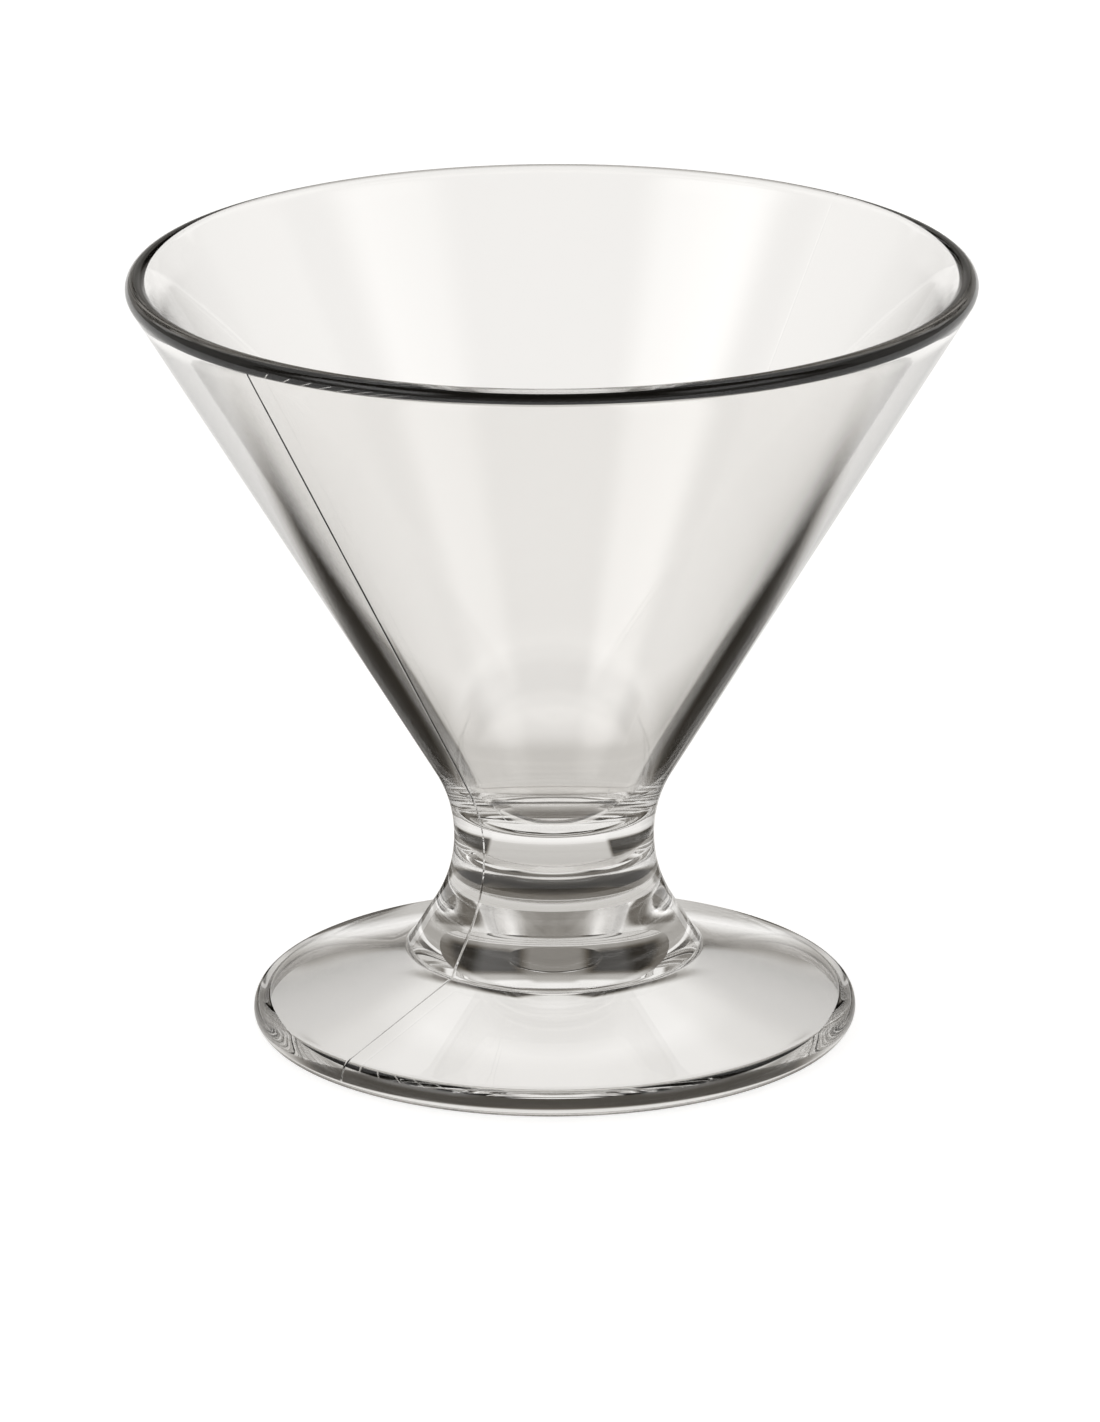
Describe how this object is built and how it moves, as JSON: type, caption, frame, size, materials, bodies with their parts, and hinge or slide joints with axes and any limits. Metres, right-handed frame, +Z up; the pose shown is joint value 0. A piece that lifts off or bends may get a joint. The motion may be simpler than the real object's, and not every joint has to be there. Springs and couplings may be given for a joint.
{
  "type": "martini glass",
  "caption": "Short-stemmed martini glass in clear moulded plastic: a wide conical bowl on a solid waisted stem and a round sloping foot.",
  "frame": {"origin": "centre of the foot, on the surface that the glass stands on", "axes": "+Z up along the axis of the bowl, stem and foot; -Y towards the picture's camera, +X to its right"},
  "size_m": [0.108, 0.108, 0.0998],
  "materials": {
    "bowl_clear_plastic": "clear polished moulded plastic, see-through",
    "stem_clear_plastic": "clear polished moulded plastic, see-through, solid",
    "foot_clear_plastic": "clear polished moulded plastic, see-through"
  },
  "bodies": {
    "root": {"bowl": "bowl_clear_plastic", "stem": "stem_clear_plastic", "foot": "foot_clear_plastic"}
  },
  "joints": []
}
